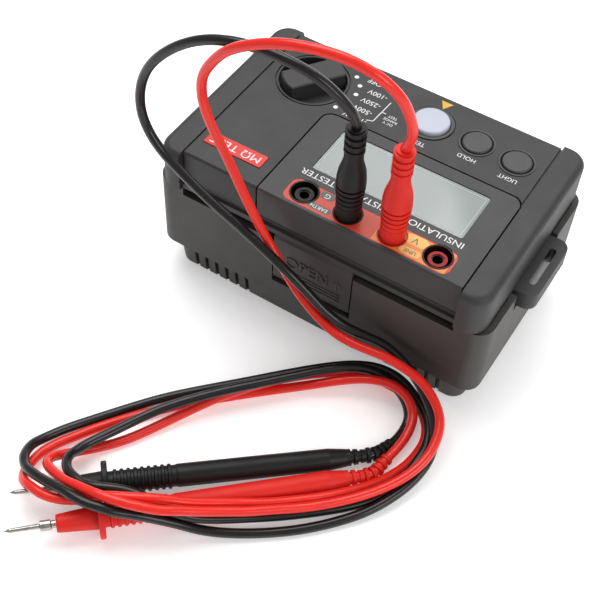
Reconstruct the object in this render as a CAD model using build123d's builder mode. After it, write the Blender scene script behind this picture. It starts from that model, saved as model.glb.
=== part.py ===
"""Hand-held insulation resistance tester, standing in its own protective lid, with two test leads.

Frame: millimetres, +Z up, origin on the floor under the middle of the case.
+X runs along the long side, -Y is the edge with the terminals.
"""
import os
from math import cos, radians, sin, tan

from build123d import *

os.makedirs("parts", exist_ok=True)

# ---------------------------------------------------------------- driving dimensions
HEIGHT = 71.0             # floor to the front panel
RIM_X, RIM_Y = 74.5, 44.0          # half sizes of the lid's rim
FOOT_X, FOOT_Y = 68.4, 39.2        # half sizes of the lid's foot at the floor
FOOT_TAPER = 7.0                   # degrees
STEP_Z = 14.5             # where the foot widens into the rim band
WALL = 2.4
LEDGE_Z = 17.0            # inside ledge that carries the tester
LONG_WALL_Z = 47.5        # top of the lid's long walls
END_WALL_Z = 51.0         # top of the lid's ends
SPLIT_Z = 52.0            # joint between the two case halves
CASE_GAP = 0.3            # between tester and ledge
CASE_X, CASE_Y = 71.6, 40.9        # half sizes of the lower case
DECK_X, DECK_Y = 61.1, 43.0        # half sizes of the flat middle of the upper case
WING_X, WING_Y = 72.0, 46.0        # half sizes over the end caps
DECK_T = 2.4              # thickness of the front panel
UNDER_DECK = HEIGHT - DECK_T
BOARD_Z, BOARD_T = 50.0, 1.6
BOARD_TOP = BOARD_Z + BOARD_T

TERMINAL_PITCH = 19.0     # banana socket spacing
TERMINAL_Y = -34.75
TERMINAL_X = [-10.5 + TERMINAL_PITCH * n for n in range(4)]   # earth, guard, volt, line
EARTH_X, GUARD_X, VOLT_X, LINE_X = TERMINAL_X

KNOB_X, KNOB_Y = -41.2, 20.7
KNOB_R = 13.9
KNOB_ANGLE = 55.0         # rest direction of the pointer, from +X
TEST_X, TEST_Y, TEST_R = 11.2, 25.6, 7.6
HOLD_X, HOLD_Y = 31.6, 25.8
LIGHT_X, LIGHT_Y = 49.4, 25.0
KEY_R = 6.1

LATCH_HALF = 17.6         # half width of a latch tongue
LATCH_PIN_Y, LATCH_PIN_Z = 42.75, 27.2
LATCH_PIN_R = 0.7
PIN_CLEARANCE = 0.05

CELL_R, CELL_LENGTH, CELL_PITCH = 7.15, 49.3, 15.2
CELL_Z = 26.9
SCREW_X, SCREW_Y = 65.0, 33.0      # case screws

CORD_R = 1.9
BOOT_TOP = 114.5          # where each cord leaves its plug
PROBE_REAR = 98.5         # from the finger guard to the cord
BLACK_GUARD, BLACK_TURN = (-22.6, -149.1, 8.3), 41.9
RED_GUARD, RED_TURN = (-15.2, -160.8, 8.3), 44.8
PROBE_DIP = 2.7           # degrees the handle falls towards its rear


def write(part, label):
    part.label = label
    export_step(part, f"parts/{label}.step")


# ---------------------------------------------------------------- lid, stowed underneath
with BuildPart() as lid_shell:
    with BuildSketch():
        RectangleRounded(2 * FOOT_X, 2 * FOOT_Y, 6)
    extrude(amount=STEP_Z, taper=-FOOT_TAPER)
    fillet(lid_shell.faces().sort_by(Axis.Z)[0].edges(), 1.2)
    with BuildSketch(Plane.XY.offset(STEP_Z)):
        RectangleRounded(2 * RIM_X - 2, 2 * RIM_Y - 2, 6)
    extrude(amount=1.0, taper=-45)
    with BuildSketch(Plane.XY.offset(STEP_Z + 1.0)):
        RectangleRounded(2 * RIM_X, 2 * RIM_Y, 7)
    extrude(amount=END_WALL_Z - STEP_Z - 1.0)
    with BuildSketch(Plane.XY.offset(LEDGE_Z)):
        RectangleRounded(2 * (RIM_X - WALL), 2 * (RIM_Y - WALL) - 0.4, 5)
    extrude(amount=END_WALL_Z, mode=Mode.SUBTRACT)
    with BuildSketch(Plane.XY.offset(WALL)):
        RectangleRounded(2 * FOOT_X - 4, 2 * FOOT_Y - 4, 4)
    extrude(amount=END_WALL_Z, mode=Mode.SUBTRACT)
    # the long walls are lower than the ends
    with Locations((0, 0, LONG_WALL_Z)):
        Box(2 * DECK_X, 3 * RIM_Y, 10, align=(Align.CENTER, Align.CENTER, Align.MIN), mode=Mode.SUBTRACT)
    # notches for the strap lugs in the ends
    with Locations((0, 0, 42.0)):
        Box(3 * RIM_X, 37.0, 20, align=(Align.CENTER, Align.CENTER, Align.MIN), mode=Mode.SUBTRACT)
    # openings for the two latch tongues
    with Locations((0, 0, 23.4)):
        Box(2 * LATCH_HALF + 1.2, 3 * RIM_Y, 40, align=(Align.CENTER, Align.CENTER, Align.MIN), mode=Mode.SUBTRACT)
    # blind holes for the latch pins
    for side in (-1, 1):
        with Locations(Location((0, side * LATCH_PIN_Y, LATCH_PIN_Z), (0, 90, 0))):
            Cylinder(LATCH_PIN_R, 2 * LATCH_HALF + 5.2, mode=Mode.SUBTRACT)
    # grip grooves in the foot
    for end in (-1, 1):
        for n in range(6):
            with Locations((end * (58.4 - 5.1 * n), 0, 0)):
                Box(1.8, 3 * FOOT_Y, 2 * 12.5, mode=Mode.SUBTRACT)
    # the grooves stay outside: the inner face of the foot is backed again
    with BuildSketch(Plane.XY.offset(0)):
        RectangleRounded(2 * FOOT_X - 2.4, 2 * FOOT_Y - 2.4, 5)
        RectangleRounded(2 * FOOT_X - 4.0, 2 * FOOT_Y - 4.0, 4, mode=Mode.SUBTRACT)
    extrude(amount=STEP_Z)
    with BuildSketch(Plane.XY.offset(0.4)):
        RectangleRounded(2 * FOOT_X - 3.0, 2 * FOOT_Y - 3.0, 4)
    extrude(amount=WALL - 0.4)
write(lid_shell.part, "lid_shell")

with BuildPart() as latch_pins:
    for side in (-1, 1):
        with Locations(Location((0, side * LATCH_PIN_Y, LATCH_PIN_Z), (0, 90, 0))):
            Cylinder(LATCH_PIN_R, 2 * LATCH_HALF + 5.0)
write(latch_pins.part, "latch_pins")


def latch(side):
    """A sprung tongue on a pin, with a hook that sits below the tester's flange."""
    top = 51.6
    with BuildPart() as tongue:
        with BuildSketch(Plane.YZ):
            with BuildLine():
                Polyline((side * 44.0, 28.0), (side * 44.0, top - 2.0), (side * 43.2, top), (side * 41.4, top),
                         (side * 41.4, top - 2.2), (side * 41.8, top - 3.2), (side * 41.8, 28.0), close=True)
            make_face()
            with Locations((side * LATCH_PIN_Y, LATCH_PIN_Z)):
                Circle(1.25)
        extrude(amount=LATCH_HALF, both=True)
        with Locations(Location((0, side * LATCH_PIN_Y, LATCH_PIN_Z), (0, 90, 0))):
            Cylinder(LATCH_PIN_R + PIN_CLEARANCE, 3 * LATCH_HALF, mode=Mode.SUBTRACT)
    return tongue.part


write(latch(-1), "front_latch")
write(latch(1), "rear_latch")

# ---------------------------------------------------------------- lower case
CASE_BOTTOM = LEDGE_Z + CASE_GAP
BAY_X, BAY_Y, BAY_TOP = 47.0, 30.0, 35.4
DOOR_TAB_Y = 37.0
with BuildPart() as lower_case:
    with BuildSketch(Plane.XY.offset(CASE_BOTTOM)):
        RectangleRounded(2 * CASE_X, 2 * CASE_Y, 4.5)
    extrude(amount=SPLIT_Z - CASE_BOTTOM)
    fillet(lower_case.faces().sort_by(Axis.Z)[0].edges(), 1.0)
    with BuildSketch(Plane.XY.offset(CASE_BOTTOM + 2.2)):
        RectangleRounded(2 * CASE_X - 4.4, 2 * CASE_Y - 4.4, 3)
    extrude(amount=SPLIT_Z, mode=Mode.SUBTRACT)
    # battery bay, closed above
    with BuildSketch(Plane.XY.offset(CASE_BOTTOM + 2.2)):
        Rectangle(2 * BAY_X + 3.6, 2 * BAY_Y + 3.6)
    extrude(amount=BAY_TOP + 1.8 - CASE_BOTTOM - 2.2)
    with Locations((0, -(BAY_Y + CASE_Y) / 2, CASE_BOTTOM + 2.2)):
        Box(24, CASE_Y - BAY_Y - 1, 12, align=(Align.CENTER, Align.CENTER, Align.MIN))
    with BuildSketch(Plane.XY.offset(CASE_BOTTOM)):
        Rectangle(2 * BAY_X, 2 * BAY_Y)
    extrude(amount=BAY_TOP - CASE_BOTTOM, mode=Mode.SUBTRACT)
    with BuildSketch(Plane.XY.offset(CASE_BOTTOM)):
        with Locations((0, -BAY_Y)):
            Rectangle(20.4, 2 * (DOOR_TAB_Y - BAY_Y) + 0.4)
    extrude(amount=2.0, mode=Mode.SUBTRACT)
    with Locations((0, -34.0, CASE_BOTTOM + 1)):
        Cylinder(1.25, 9, align=(Align.CENTER, Align.CENTER, Align.MIN), mode=Mode.SUBTRACT)
    # bosses for the case screws and posts for the board
    with Locations(*[(sx * SCREW_X, sy * SCREW_Y, CASE_BOTTOM + 1) for sx in (-1, 1) for sy in (-1, 1)]):
        Cylinder(4.2, SPLIT_Z - CASE_BOTTOM - 1.2, align=(Align.CENTER, Align.CENTER, Align.MIN))
    with Locations(*[(sx * SCREW_X, sy * SCREW_Y, CASE_BOTTOM) for sx in (-1, 1) for sy in (-1, 1)]):
        Cylinder(3.1, 40.0 - CASE_BOTTOM, align=(Align.CENTER, Align.CENTER, Align.MIN), mode=Mode.SUBTRACT)
        Cylinder(1.65, 60, align=(Align.CENTER, Align.CENTER, Align.MIN), mode=Mode.SUBTRACT)
    with Locations(*[(sx * 55.5, sy * 33.5, CASE_BOTTOM + 1) for sx in (-1, 1) for sy in (-1, 1)]):
        Cylinder(2.8, BOARD_Z - CASE_BOTTOM - 1, align=(Align.CENTER, Align.CENTER, Align.MIN))
    with Locations(*[(sx * 55.5, sy * 33.5, BOARD_Z) for sx in (-1, 1) for sy in (-1, 1)]):
        Cylinder(1.1, 16, mode=Mode.SUBTRACT)
    # strap lugs at both ends
    for end in (-1, 1):
        with BuildSketch(Plane.XY.offset(43.3)):
            with Locations((end * (CASE_X + 4.2), 0)):
                RectangleRounded(10.4, 33.0, 4.5)
            with Locations((end * (CASE_X + 1.0), 0)):
                Rectangle(3.6, 33.0)
            with Locations((end * 76.4, 0)):
                SlotOverall(21.0, 2.9, rotation=90, mode=Mode.SUBTRACT)
            with Locations((end * (CASE_X - 5.0), 0)):
                Rectangle(6.0, 40.0, mode=Mode.SUBTRACT)
        extrude(amount=8.0)
    # groove for the seal
    with BuildSketch(Plane.XY.offset(SPLIT_Z)):
        RectangleRounded(2 * CASE_X - 1.4, 2 * CASE_Y - 1.4, 3.9)
        RectangleRounded(2 * CASE_X - 3.0, 2 * CASE_Y - 3.0, 3.2, mode=Mode.SUBTRACT)
    extrude(amount=-0.9, mode=Mode.SUBTRACT)
write(lower_case.part, "lower_case")

with BuildPart() as case_seal:
    with BuildSketch(Plane.XY.offset(SPLIT_Z - 0.9)):
        RectangleRounded(2 * CASE_X - 1.5, 2 * CASE_Y - 1.5, 3.85)
        RectangleRounded(2 * CASE_X - 2.9, 2 * CASE_Y - 2.9, 3.25, mode=Mode.SUBTRACT)
    extrude(amount=0.9)
write(case_seal.part, "case_seal")

# ---------------------------------------------------------------- upper case
INSERT_X0, INSERT_X1, INSERT_Y1 = -26.8, 60.8, 8.3    # panel insert outline, the near edge is the face
INSERT_LOW = 57.0
SEAM = 0.35                                           # half the visible joint round the insert
with BuildPart() as upper_case:
    with BuildSketch(Plane.XY.offset(SPLIT_Z)):
        Rectangle(2 * DECK_X, 2 * DECK_Y)
    extrude(amount=HEIGHT - SPLIT_Z)
    fillet(upper_case.faces().sort_by(Axis.Z)[-1].edges().filter_by(Axis.X), 1.2)
    with BuildPart(mode=Mode.PRIVATE) as caps:
        with BuildSketch(Plane.XY.offset(SPLIT_Z)):
            RectangleRounded(2 * WING_X, 2 * WING_Y, 8)
        extrude(amount=HEIGHT - SPLIT_Z)
        fillet(caps.faces().sort_by(Axis.Z)[-1].edges(), 3.2)
        Box(2 * DECK_X, 3 * WING_Y, 4 * HEIGHT, mode=Mode.SUBTRACT)
    add(caps.part)
    # flange over the lid's long walls
    with BuildSketch(Plane.XY.offset(SPLIT_Z)):
        Rectangle(2 * DECK_X, 2 * DECK_Y + 2.4)
    extrude(amount=2.4)
    # inside
    with BuildSketch(Plane.XY.offset(SPLIT_Z)):
        RectangleRounded(2 * WING_X - 5.2, 2 * DECK_Y - 4.8, 5)
        with Locations((-(DECK_X + 2.6 + WING_X - 2.6) / 2, 0), ((DECK_X + 2.6 + WING_X - 2.6) / 2, 0)):
            RectangleRounded(WING_X - DECK_X - 5.2, 2 * WING_Y - 5.2, 2.5)
    extrude(amount=UNDER_DECK - SPLIT_Z, mode=Mode.SUBTRACT)
    # grooves between the end caps and the middle
    for end in (-1, 1):
        with Locations((end * (DECK_X - 0.4), 0, HEIGHT - 0.8)):
            Box(0.9, 2 * DECK_Y - 1.0, 4, align=(Align.CENTER, Align.CENTER, Align.MIN), mode=Mode.SUBTRACT)
        with Locations((end * (DECK_X - 0.4), -DECK_Y, 55)):
            Box(0.9, 1.4, HEIGHT, align=(Align.CENTER, Align.CENTER, Align.MIN), mode=Mode.SUBTRACT)
        with Locations((end * (DECK_X - 0.4), DECK_Y, 55)):
            Box(0.9, 1.4, HEIGHT, align=(Align.CENTER, Align.CENTER, Align.MIN), mode=Mode.SUBTRACT)
    # collars under the panel for the knob and the keys
    with BuildSketch(Plane.XY.offset(66.3)):
        with Locations((KNOB_X, KNOB_Y)):
            Circle(KNOB_R + 2.4)
    extrude(amount=HEIGHT - 66.3 - 0.5)
    # bosses for the case screws
    with Locations(*[(sx * SCREW_X, sy * SCREW_Y, SPLIT_Z + 0.3) for sx in (-1, 1) for sy in (-1, 1)]):
        Cylinder(3.4, UNDER_DECK - SPLIT_Z, align=(Align.CENTER, Align.CENTER, Align.MIN))
    with Locations(*[(sx * SCREW_X, sy * SCREW_Y, SPLIT_Z) for sx in (-1, 1) for sy in (-1, 1)]):
        Cylinder(1.5, 10, align=(Align.CENTER, Align.CENTER, Align.MIN), mode=Mode.SUBTRACT)
    # place for the panel insert, on a ledge
    with BuildSketch(Plane.XY.offset(UNDER_DECK)):
        with BuildLine():
            Polyline((INSERT_X0 - SEAM, -60), (INSERT_X1 + SEAM, -60), (INSERT_X1 + SEAM, INSERT_Y1 + SEAM),
                     (INSERT_X0 - SEAM, INSERT_Y1 + SEAM), close=True)
        make_face()
        fillet(vertices().group_by(Axis.Y)[-1], 5.0)
    extrude(amount=10, mode=Mode.SUBTRACT)
    with Locations(((INSERT_X0 + INSERT_X1) / 2, -60, INSERT_LOW - SEAM)):
        Box(INSERT_X1 - INSERT_X0 + 2 * SEAM, 2 * (60 - DECK_Y + 2.6), 40,
            align=(Align.CENTER, Align.CENTER, Align.MIN), mode=Mode.SUBTRACT)
    with BuildSketch(Plane.XY.offset(UNDER_DECK)):
        with BuildLine():
            Polyline((INSERT_X0 - 1, -DECK_Y + 2.6), (INSERT_X1 + 1, -DECK_Y + 2.6),
                     (INSERT_X1 + 1, INSERT_Y1 + 1.5), (INSERT_X0 - 1, INSERT_Y1 + 1.5), close=True)
        make_face()
        with Locations(((INSERT_X0 + INSERT_X1) / 2, -19.0)):
            Rectangle(INSERT_X1 - INSERT_X0 - 7, 46, mode=Mode.SUBTRACT)
    extrude(amount=-2.0)
    # openings for knob and keys, ring grooves round them
    with BuildSketch(Plane.XY.offset(60)):
        with Locations((KNOB_X, KNOB_Y)):
            Circle(KNOB_R + 0.3)
        with Locations((TEST_X, TEST_Y)):
            Circle(TEST_R + 0.3)
        with Locations((HOLD_X, HOLD_Y), (LIGHT_X, LIGHT_Y)):
            Circle(KEY_R + 0.4)
    extrude(amount=30, mode=Mode.SUBTRACT)
    with BuildSketch(Plane.XY.offset(HEIGHT)):
        with Locations((KNOB_X, KNOB_Y)):
            Circle(KNOB_R + 1.7)
            Circle(KNOB_R + 1.1, mode=Mode.SUBTRACT)
        with Locations((TEST_X, TEST_Y)):
            Circle(TEST_R + 2.3)
            Circle(TEST_R + 1.8, mode=Mode.SUBTRACT)
    extrude(amount=-0.8, mode=Mode.SUBTRACT)
    # shallow seat for the badge
    with Locations((-44.45, -30.7, HEIGHT - 0.4)):
        Box(26.4, 6.9, 4, align=(Align.CENTER, Align.CENTER, Align.MIN), mode=Mode.SUBTRACT)
write(upper_case.part, "upper_case")

with BuildPart() as face_insert:
    with BuildSketch(Plane.XY.offset(UNDER_DECK)):
        with BuildLine():
            Polyline((INSERT_X0 + SEAM, -DECK_Y), (INSERT_X1 - SEAM, -DECK_Y), (INSERT_X1 - SEAM, INSERT_Y1 - SEAM),
                     (INSERT_X0 + SEAM, INSERT_Y1 - SEAM), close=True)
        make_face()
        fillet(vertices().group_by(Axis.Y)[-1], 4.4)
    extrude(amount=DECK_T)
    with Locations(((INSERT_X0 + INSERT_X1) / 2, -DECK_Y, INSERT_LOW)):
        Box(INSERT_X1 - INSERT_X0 - 2 * SEAM, 2.2, HEIGHT - INSERT_LOW, align=(Align.CENTER, Align.MIN, Align.MIN))
    fillet(face_insert.faces().sort_by(Axis.Z)[-1].edges().group_by(Axis.Y)[0], 1.0)
    # seat of the window, seat of the terminal label, socket holes
    with BuildSketch(Plane.XY.offset(HEIGHT)):
        with Locations((17.2, -9.8)):
            RectangleRounded(65.0, 24.6, 1.2)
    extrude(amount=-1.6, mode=Mode.SUBTRACT)
    with BuildSketch(Plane.XY.offset(HEIGHT)):
        with Locations((17.2, -9.8)):
            Rectangle(61.0, 20.6)
    extrude(amount=-5, mode=Mode.SUBTRACT)
    with BuildSketch(Plane.XY.offset(HEIGHT)):
        with Locations((17.9, -35.4)):
            RectangleRounded(70.8, 12.0, 3.4)
    extrude(amount=-0.5, mode=Mode.SUBTRACT)
    with Locations(*[(x, TERMINAL_Y, UNDER_DECK) for x in TERMINAL_X]):
        Cylinder(6.3, 12, mode=Mode.SUBTRACT)
write(face_insert.part, "face_insert")

with BuildPart() as terminal_label:
    with BuildSketch(Plane.XY.offset(HEIGHT - 0.5)):
        with Locations((17.9, -35.4)):
            RectangleRounded(70.6, 11.8, 3.3)
        with Locations(*[(x, TERMINAL_Y) for x in TERMINAL_X]):
            Circle(5.9, mode=Mode.SUBTRACT)
    extrude(amount=0.5)
write(terminal_label.part, "terminal_label")

with BuildPart() as display_window:
    with BuildSketch(Plane.XY.offset(HEIGHT - 1.6)):
        with Locations((17.2, -9.8)):
            RectangleRounded(64.8, 24.4, 1.1)
    extrude(amount=1.2)
write(display_window.part, "display_window")

with BuildPart() as badge_plate:
    with BuildSketch(Plane.XY.offset(HEIGHT - 0.4)):
        with Locations((-44.45, -30.7)):
            RectangleRounded(26.1, 6.6, 0.6)
    extrude(amount=0.8)
write(badge_plate.part, "badge_plate")

with BuildPart() as triangle_mark:
    with BuildSketch(Plane.XY.offset(HEIGHT)):
        with Locations((11.2, 38.4)):
            RegularPolygon(3.0, 3, rotation=-90)
    extrude(amount=0.2)
write(triangle_mark.part, "triangle_mark")

# ---------------------------------------------------------------- display stack
with BuildPart() as lcd_frame:
    with BuildSketch(Plane.XY.offset(BOARD_TOP)):
        with Locations((17.2, -9.8)):
            Rectangle(68.0, 28.0)
            Rectangle(64.4, 24.4, mode=Mode.SUBTRACT)
    extrude(amount=14.4)
write(lcd_frame.part, "lcd_frame")

with BuildPart() as lcd_backlight:
    with BuildSketch(Plane.XY.offset(60.4)):
        with Locations((17.2, -9.8)):
            Rectangle(64.0, 24.0)
    extrude(amount=3.4)
write(lcd_backlight.part, "lcd_backlight")

with BuildPart() as lcd_glass:
    with BuildSketch(Plane.XY.offset(63.9)):
        with Locations((17.2, -9.8)):
            Rectangle(64.0, 24.0)
    extrude(amount=2.4)
write(lcd_glass.part, "lcd_glass")

with BuildPart() as zebra_strips:
    with BuildSketch(Plane.XY.offset(BOARD_TOP)):
        with Locations((17.2, -9.8 + 10.6), (17.2, -9.8 - 10.6)):
            Rectangle(60.0, 2.0)
    extrude(amount=60.4 - BOARD_TOP)
write(zebra_strips.part, "zebra_strips")

# ---------------------------------------------------------------- terminals
SOCKET_BOTTOM, SOCKET_TOP = 53.0, 71.2
POST_TOP, SLEEVE_TOP = 69.8, 69.4
SLEEVE_BORE = 2.0


def socket_body(x):
    """Insulating cup with a post in the middle that carries the brass sleeve."""
    with BuildPart() as cup:
        with BuildSketch(Plane.XY.offset(SOCKET_BOTTOM)):
            with Locations((x, TERMINAL_Y)):
                Circle(5.85)
                Circle(2.45, mode=Mode.SUBTRACT)
        extrude(amount=SOCKET_TOP - SOCKET_BOTTOM)
        with BuildSketch(Plane.XY.offset(SOCKET_BOTTOM + 2.0)):
            with Locations((x, TERMINAL_Y)):
                Circle(5.25)
                Circle(3.7, mode=Mode.SUBTRACT)
        extrude(amount=30, mode=Mode.SUBTRACT)
        with BuildSketch(Plane.XY.offset(POST_TOP)):
            with Locations((x, TERMINAL_Y)):
                Circle(5.25)
        extrude(amount=10, mode=Mode.SUBTRACT)
    return cup.part


for name, x in zip(("earth_socket", "guard_socket", "volt_socket", "line_socket"), TERMINAL_X):
    write(socket_body(x), name)

with BuildPart() as terminal_sleeves:
    with BuildSketch(Plane.XY.offset(BOARD_TOP)):
        with Locations(*[(x, TERMINAL_Y) for x in TERMINAL_X]):
            Circle(2.45)
    extrude(amount=SLEEVE_TOP - BOARD_TOP)
    with BuildSketch(Plane.XY.offset(54.0)):
        with Locations(*[(x, TERMINAL_Y) for x in TERMINAL_X]):
            Circle(SLEEVE_BORE)
    extrude(amount=30, mode=Mode.SUBTRACT)
write(terminal_sleeves.part, "terminal_sleeves")

# ---------------------------------------------------------------- board and what it carries
with BuildPart() as main_board:
    with BuildSketch(Plane.XY.offset(BOARD_Z)):
        Rectangle(120.0, 75.0)
        with Locations(*[(sx * 60.0, sy * 37.5) for sx in (-1, 1) for sy in (-1, 1)]):
            Circle(2.0, mode=Mode.SUBTRACT)
        with Locations(*[(sx * 55.5, sy * 33.5) for sx in (-1, 1) for sy in (-1, 1)]):
            Circle(1.3, mode=Mode.SUBTRACT)
        with Locations((KNOB_X, KNOB_Y)):
            Circle(3.6, mode=Mode.SUBTRACT)
    extrude(amount=BOARD_T)
write(main_board.part, "main_board")

with BuildPart() as board_screws:
    for sx in (-1, 1):
        for sy in (-1, 1):
            with Locations((sx * 55.5, sy * 33.5, BOARD_TOP)):
                Cylinder(2.2, 1.4, align=(Align.CENTER, Align.CENTER, Align.MIN))
            with Locations((sx * 55.5, sy * 33.5, BOARD_TOP)):
                Cylinder(1.05, 8.0, align=(Align.CENTER, Align.CENTER, Align.MAX))
write(board_screws.part, "board_screws")

with BuildPart() as hv_transformer:
    with Locations((28, 12, BOARD_Z)):
        Box(22, 17, 3, align=(Align.CENTER, Align.CENTER, Align.MAX))
    with Locations((28, 12, BOARD_Z - 3)):
        Box(16, 13, 6, align=(Align.CENTER, Align.CENTER, Align.MAX))
    with Locations((28, 12, BOARD_Z - 9)):
        Box(22, 17, 2, align=(Align.CENTER, Align.CENTER, Align.MAX))
write(hv_transformer.part, "hv_transformer")

with BuildPart() as hv_capacitors:
    with Locations(*[(2.0 - 11.5 * n, 14.0, BOARD_Z) for n in range(3)]):
        Cylinder(5.0, 11.5, align=(Align.CENTER, Align.CENTER, Align.MAX))
    fillet(hv_capacitors.faces().group_by(Axis.Z)[0].edges(), 0.8)
write(hv_capacitors.part, "hv_capacitors")

with BuildPart() as relay:
    with Locations((28, -16, BOARD_Z)):
        Box(20, 12, 11, align=(Align.CENTER, Align.CENTER, Align.MAX))
    chamfer(relay.edges().filter_by(Axis.Z), 0.6)
write(relay.part, "relay")

with BuildPart() as buzzer:
    with Locations((-6, -14, BOARD_Z)):
        Cylinder(6.0, 8.5, align=(Align.CENTER, Align.CENTER, Align.MAX))
    with Locations((-6, -14, BOARD_Z - 8.5)):
        Cylinder(1.2, 2, mode=Mode.SUBTRACT)
write(buzzer.part, "buzzer")

with BuildPart() as board_chips:
    with Locations((-40, -12, BOARD_TOP)):
        Box(14, 14, 1.6, align=(Align.CENTER, Align.CENTER, Align.MIN))
    with Locations((-40, -30, BOARD_TOP)):
        Box(10, 6, 1.6, align=(Align.CENTER, Align.CENTER, Align.MIN))
    with Locations((20, 14.5, BOARD_TOP)):
        Box(10, 6, 1.6, align=(Align.CENTER, Align.CENTER, Align.MIN))
write(board_chips.part, "board_chips")

KEY_PLACES = [(TEST_X, TEST_Y), (HOLD_X, HOLD_Y), (LIGHT_X, LIGHT_Y)]
TACT_TOP = 56.6
with BuildPart() as tact_switches:
    for x, y in KEY_PLACES:
        with Locations((x, y, BOARD_TOP)):
            Box(6.0, 6.0, 3.4, align=(Align.CENTER, Align.CENTER, Align.MIN))
            Cylinder(1.75, TACT_TOP - BOARD_TOP, align=(Align.CENTER, Align.CENTER, Align.MIN))
write(tact_switches.part, "tact_switches")

# ---------------------------------------------------------------- range switch
SHAFT_R = 2.95
POINTER = Plane(origin=(KNOB_X, KNOB_Y, 0), x_dir=(cos(radians(KNOB_ANGLE)), sin(radians(KNOB_ANGLE)), 0))
with BuildPart() as rotary_knob:
    with BuildSketch(POINTER.offset(64.2)):
        Circle(KNOB_R + 1.6)
    extrude(amount=1.8)
    with BuildSketch(POINTER.offset(64.2)):
        Circle(KNOB_R)
    extrude(amount=3.4)
    # grip bar across the disc, with sloping sides
    with BuildSketch(POINTER.offset(67.0)):
        Circle(KNOB_R - 0.2)
        Rectangle(40, 12.6, mode=Mode.INTERSECT)
    extrude(amount=8.0, taper=5)
    fillet(rotary_knob.faces().sort_by(Axis.Z)[-1].edges(), 0.9)
    # white index line
    with BuildSketch(POINTER.offset(75.0)):
        with Locations((8.2, 0)):
            Rectangle(7.0, 1.0)
    extrude(amount=-0.4, mode=Mode.SUBTRACT)
    with BuildSketch(POINTER.offset(64.2)):
        Circle(2.95)
    extrude(amount=6.0, mode=Mode.SUBTRACT)
write(rotary_knob.part, "rotary_knob")

with BuildPart() as pointer_line:
    with BuildSketch(POINTER.offset(74.6)):
        with Locations((8.2, 0)):
            Rectangle(7.0, 1.0)
    extrude(amount=0.4)
write(pointer_line.part, "pointer_line")

with BuildPart() as knob_shaft:
    with BuildSketch(POINTER.offset(48.0)):
        Circle(SHAFT_R)
    extrude(amount=70.2 - 48.0)
write(knob_shaft.part, "knob_shaft")

with BuildPart() as switch_rotor:
    with BuildSketch(POINTER.offset(53.6)):
        Circle(13.0)
        Circle(SHAFT_R, mode=Mode.SUBTRACT)
    extrude(amount=3.0)
write(switch_rotor.part, "switch_rotor")

with BuildPart() as wiper_contacts:
    with BuildSketch(POINTER.offset(53.0)):
        with Locations((7.0, 0), (10.5, 0), (-7.0, 0), (-10.5, 0)):
            RectangleRounded(1.6, 5.0, 0.6)
    extrude(amount=0.6)
write(wiper_contacts.part, "wiper_contacts")

with BuildPart() as switch_housing:
    with BuildSketch(POINTER.offset(BOARD_TOP)):
        Circle(16.0)
        Circle(SHAFT_R + PIN_CLEARANCE, mode=Mode.SUBTRACT)
    extrude(amount=1.0)
    with BuildSketch(POINTER.offset(BOARD_TOP)):
        Circle(16.0)
        Circle(14.6, mode=Mode.SUBTRACT)
        # detent teeth face the rotor
        with PolarLocations(14.6, 12):
            Circle(0.6)
    extrude(amount=6.0)
write(switch_housing.part, "switch_housing")


# ---------------------------------------------------------------- keys
def key(x, y, radius, crown):
    """Round key with a flange below the panel and a stem that presses a switch on the board."""
    with BuildPart() as cap:
        with BuildSketch(Plane.XY.offset(66.0)):
            with Locations((x, y)):
                Circle(radius + 1.4)
        extrude(amount=1.4)
        with BuildSketch(Plane.XY.offset(66.0)):
            with Locations((x, y)):
                Circle(radius)
        extrude(amount=HEIGHT + crown - 66.0)
        fillet(cap.faces().sort_by(Axis.Z)[-1].edges(), min(crown, 1.2) * 0.9)
        with BuildSketch(Plane.XY.offset(TACT_TOP + 1.5)):
            with Locations((x, y)):
                Circle(1.8)
        extrude(amount=66.0 - TACT_TOP - 1.5)
    return cap.part


write(key(TEST_X, TEST_Y, TEST_R, 1.9), "test_button")
write(key(HOLD_X, HOLD_Y, KEY_R, 1.0), "hold_button")
write(key(LIGHT_X, LIGHT_Y, KEY_R, 1.0), "light_button")

# ---------------------------------------------------------------- batteries
CELL_X = [CELL_PITCH * (n - 2.5) for n in range(6)]
with BuildPart() as aa_cells:
    for n, x in enumerate(CELL_X):
        way = 1 if n % 2 else -1
        with Locations(Location((x, 0, CELL_Z), (90, 0, 0))):
            Cylinder(CELL_R, CELL_LENGTH)
        with Locations(Location((x, way * (CELL_LENGTH / 2 + 0.5), CELL_Z), (90, 0, 0))):
            Cylinder(2.7, 1.0)
write(aa_cells.part, "aa_cells")

with BuildPart() as battery_contacts:
    for n, x in enumerate(CELL_X):
        way = 1 if n % 2 else -1
        with Locations((x, way * (CELL_LENGTH / 2 + 1.25), CELL_Z)):
            Box(10.0, 0.4, 10.0)
        with Locations((x, -way * (BAY_Y - 0.3), CELL_Z)):
            Box(10.0, 0.4, 10.0)
        with Locations(Location((x, -way * ((CELL_LENGTH / 2 + BAY_Y - 0.5) / 2), CELL_Z), (90, 0, 0))):
            Cylinder(3.2, BAY_Y - 0.5 - CELL_LENGTH / 2)
            Cylinder(2.5, 20, mode=Mode.SUBTRACT)
write(battery_contacts.part, "battery_contacts")

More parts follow.
